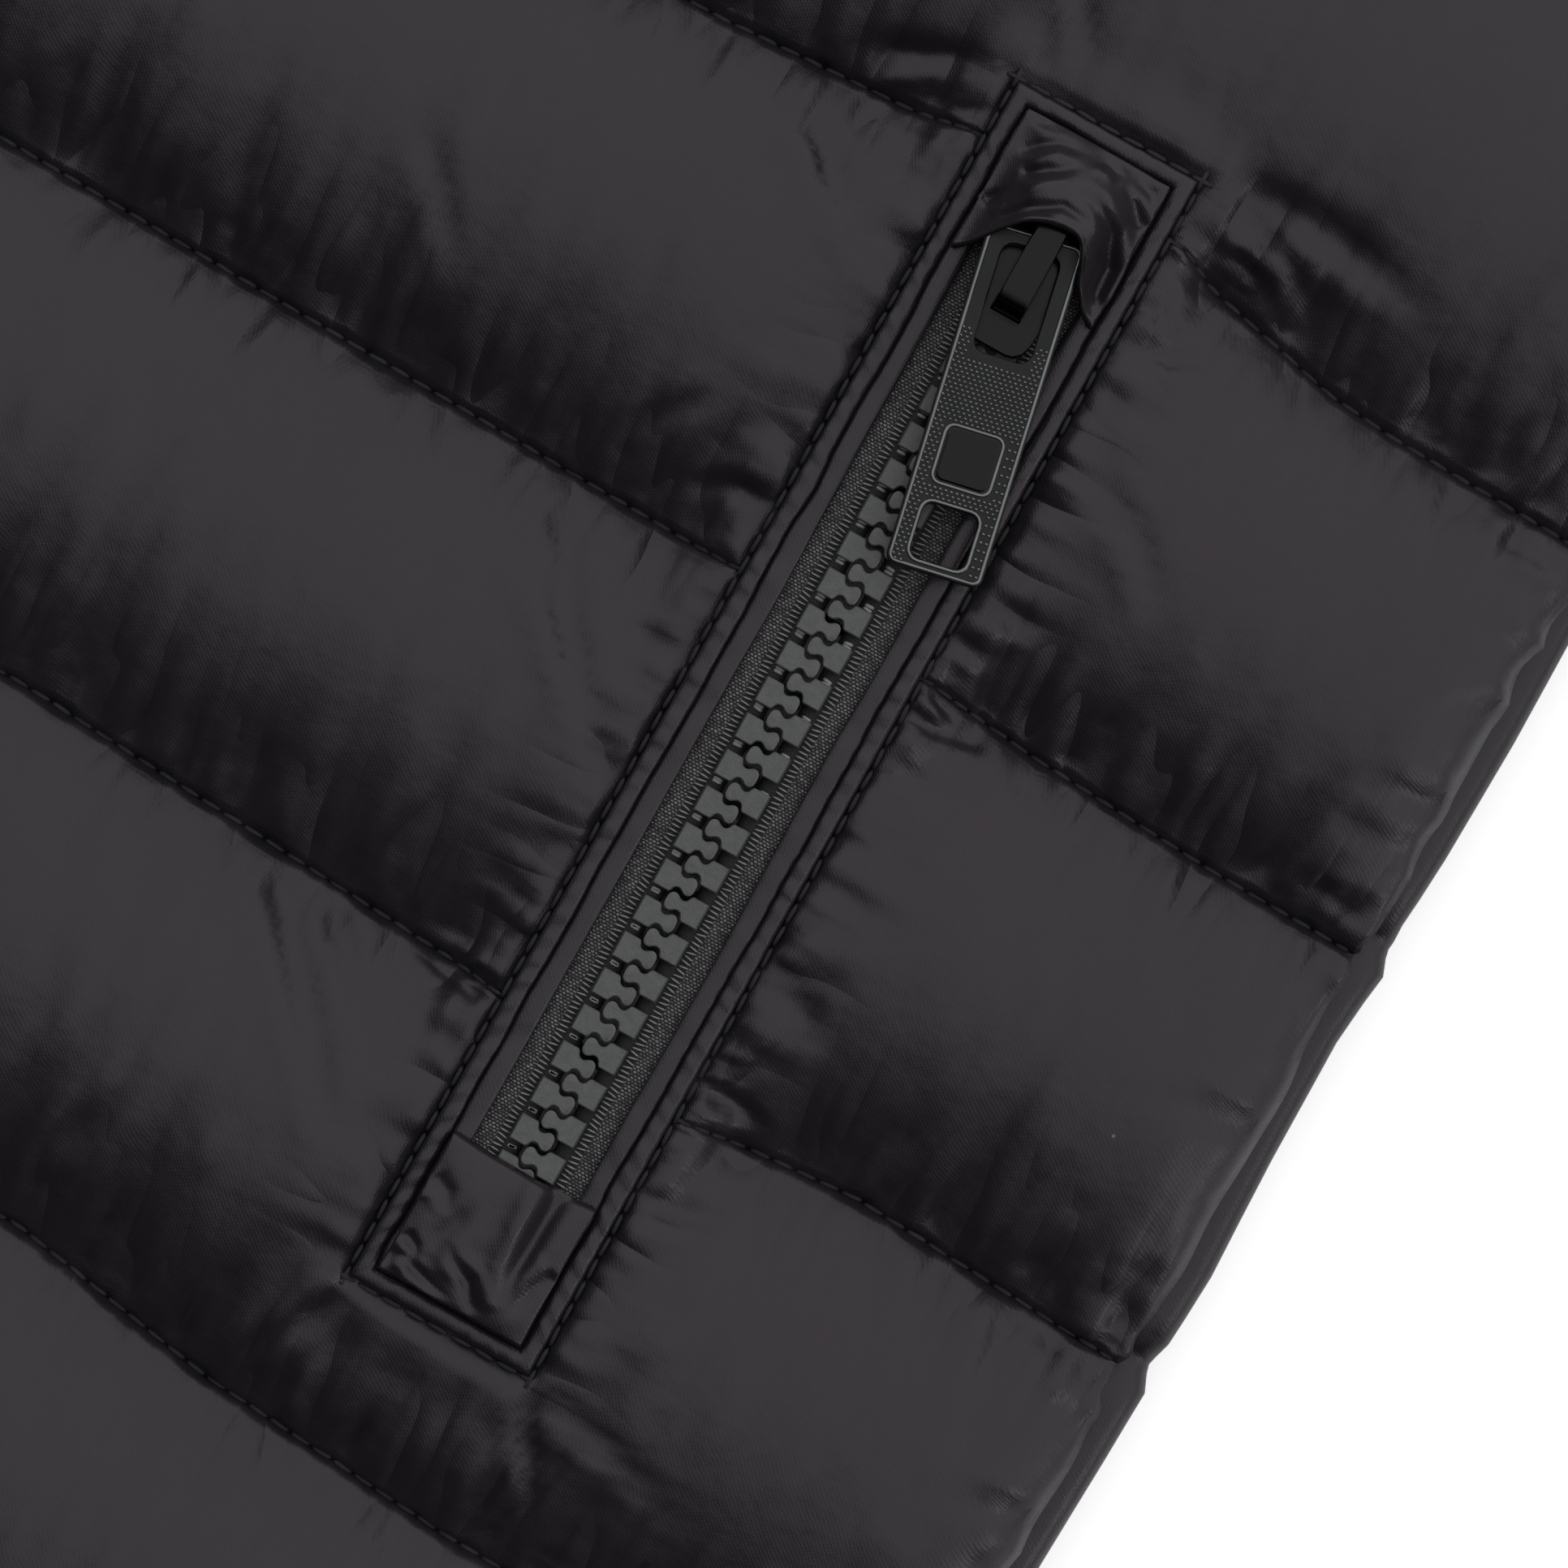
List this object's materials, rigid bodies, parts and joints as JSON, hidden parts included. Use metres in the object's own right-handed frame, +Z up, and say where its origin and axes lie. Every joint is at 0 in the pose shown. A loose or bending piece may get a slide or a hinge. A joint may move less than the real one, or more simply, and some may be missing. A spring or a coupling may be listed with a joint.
{
  "type": "hooded puffer jacket",
  "caption": "Hooded puffer jacket, zipped up and laid flat on its back, with quilted baffles, zipped side pockets and pull tabs that swing.",
  "frame": {"origin": "the middle of the jacket's outline on the surface it lies on", "axes": "+X towards the wearer's left across the spread sleeves, +Y from the hem to the hood, +Z up out of the jacket's front"},
  "size_m": [1.2472, 0.985, 0.0272],
  "materials": {
    "shell": "fine satin-woven nylon, charcoal black",
    "zip_tape": "coarse woven tape",
    "zip_teeth": "moulded, satin",
    "slider": "black gloss lacquer",
    "pull": "dark grey satin lacquer"
  },
  "bodies": {
    "jacket": {"front_left": "shell", "front_right": "shell", "back": "shell", "sleeve_left_top": "shell", "sleeve_left_under": "shell", "sleeve_right_top": "shell", "sleeve_right_under": "shell", "cuff_left": "shell", "cuff_right": "shell", "collar_left": "shell", "collar_right": "shell", "hood_under": "shell", "hood_left": "shell", "hood_right": "shell", "pocket_left_welt": "shell", "pocket_left_zip": "zip_tape", "pocket_left_garage": "shell", "pocket_left_end_tab": "shell", "pocket_left_slider": "slider", "pocket_right_welt": "shell", "pocket_right_zip": "zip_tape", "pocket_right_garage": "shell", "pocket_right_end_tab": "shell", "pocket_right_slider": "slider", "front_zip": "zip_tape", "front_slider": "slider"},
    "pocket_left_tab": {"pocket_left_pull": "pull"},
    "pocket_right_tab": {"pocket_right_pull": "pull"},
    "front_tab": {"front_pull": "pull"}
  },
  "joints": [
    {"name": "pocket_left_tab_hinge", "type": "hinge", "parent": "jacket", "child": "pocket_left_tab", "pos_m": [0.20604, -0.26661, 0.0226], "axis": [-0.9755, -0.2198, 0], "range_deg": [0, 90]},
    {"name": "pocket_right_tab_hinge", "type": "hinge", "parent": "jacket", "child": "pocket_right_tab", "pos_m": [-0.20604, -0.26661, 0.0226], "axis": [-0.9755, 0.2198, 0], "range_deg": [0, 90]},
    {"name": "front_tab_hinge", "type": "hinge", "parent": "jacket", "child": "front_tab", "pos_m": [0, 0.1535, 0.0153], "axis": [-1, 0, 0], "range_deg": [0, 150]}
  ]
}
